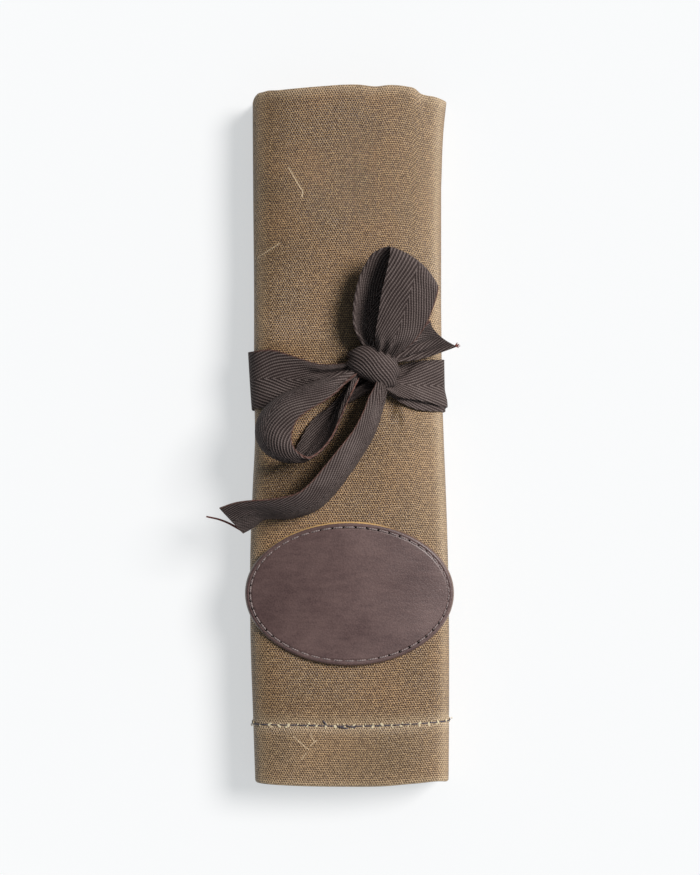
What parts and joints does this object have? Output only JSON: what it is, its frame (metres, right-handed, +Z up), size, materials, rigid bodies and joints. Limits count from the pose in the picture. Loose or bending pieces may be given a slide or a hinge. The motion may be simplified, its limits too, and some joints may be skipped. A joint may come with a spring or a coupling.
{
  "type": "utensil roll",
  "caption": "Canvas roll that carries table utensils in sewn pockets, rolled flat, with a stitched leather oval on the front and a twill tape tied around it in a bow.",
  "frame": {"origin": "on the table, at the middle of the back panel's underside", "axes": "+X to the right as seen from above, +Y along the roll to its flap end, +Z up from the table"},
  "size_m": [0.0909, 0.2682, 0.0471],
  "materials": {
    "canvas": "waxed plain-weave canvas, tan brown",
    "pocket_canvas": "plain-weave canvas, tan brown",
    "twill_tape": "herringbone twill tape, dark brown grey",
    "patch_leather": "smooth dark brown leather, satin",
    "thread": "dark grey sewing thread"
  },
  "bodies": {
    "back": {"back_panel": "canvas", "back_hem": "canvas", "back_hem_stitch": "thread", "pocket_panel": "pocket_canvas", "pocket_seam_left": "thread", "pocket_seam_right": "thread", "tie_back_strap": "twill_tape"},
    "right_side": {"right_side_panel": "canvas", "tie_right_side_strap": "twill_tape"},
    "front": {"front_panel": "canvas", "front_hem": "canvas", "front_top_fold": "canvas", "front_hem_stitch": "thread", "leather_patch": "patch_leather", "patch_stitch": "thread", "tie_left_strand": "twill_tape", "tie_right_strand": "twill_tape", "tie_knot": "twill_tape"},
    "left_edge": {"left_edge_panel": "canvas", "left_edge_stitch": "thread", "tie_left_side_strap": "twill_tape"},
    "inner_side": {"inner_side_panel": "canvas"},
    "inner_leaf": {"inner_leaf_panel": "canvas", "inner_leaf_hem": "canvas", "inner_leaf_stitch": "thread"},
    "flap": {"top_flap_panel": "canvas", "top_flap_stitch": "thread"},
    "upper_bow": {"upper_loop": "twill_tape", "short_tail": "twill_tape"},
    "lower_bow": {"lower_loop": "twill_tape"},
    "tail": {"long_tail": "twill_tape"}
  },
  "joints": [
    {"name": "unroll", "type": "hinge", "parent": "back", "child": "right_side", "pos_m": [0.0375, 0, 0], "axis": [0, 1, 0], "range_deg": [0, 90]},
    {"name": "front_fold", "type": "hinge", "parent": "right_side", "child": "front", "pos_m": [0.0375, 0, 0.0215], "axis": [0, 1, 0], "range_deg": [0, 90]},
    {"name": "edge_fold", "type": "hinge", "parent": "front", "child": "left_edge", "pos_m": [-0.0375, 0, 0.0215], "axis": [0, 1, 0], "range_deg": [0, 90]},
    {"name": "inner_side_fold", "type": "hinge", "parent": "back", "child": "inner_side", "pos_m": [-0.0357, 0, 0], "axis": [0, -1, 0], "range_deg": [0, 90]},
    {"name": "leaf_fold", "type": "hinge", "parent": "inner_side", "child": "inner_leaf", "pos_m": [-0.0357, 0, 0.013], "axis": [0, -1, 0], "range_deg": [0, 90]},
    {"name": "flap_fold", "type": "hinge", "parent": "back", "child": "flap", "pos_m": [0, 0.134, 0.0019], "axis": [-1, 0, 0], "range_deg": [0, 166]},
    {"name": "upper_bow_lift", "type": "hinge", "parent": "front", "child": "upper_bow", "pos_m": [0.0081, 0.0266, 0.0305], "axis": [1, 0, 0], "range_deg": [0, 20]},
    {"name": "lower_bow_lift", "type": "hinge", "parent": "front", "child": "lower_bow", "pos_m": [0.0081, 0.0266, 0.0305], "axis": [-0.565, 0.8251, 0], "range_deg": [0, 16]},
    {"name": "tail_lift", "type": "hinge", "parent": "front", "child": "tail", "pos_m": [0.0081, 0.0266, 0.0305], "axis": [-0.9258, 0.3779, 0], "range_deg": [0, 16]}
  ],
  "couplings": [
    {"joint": "front_fold", "follows": "unroll", "ratio": 1},
    {"joint": "edge_fold", "follows": "unroll", "ratio": 1},
    {"joint": "inner_side_fold", "follows": "unroll", "ratio": 1},
    {"joint": "leaf_fold", "follows": "unroll", "ratio": 1},
    {"joint": "flap_fold", "follows": "unroll", "ratio": 1.842}
  ]
}
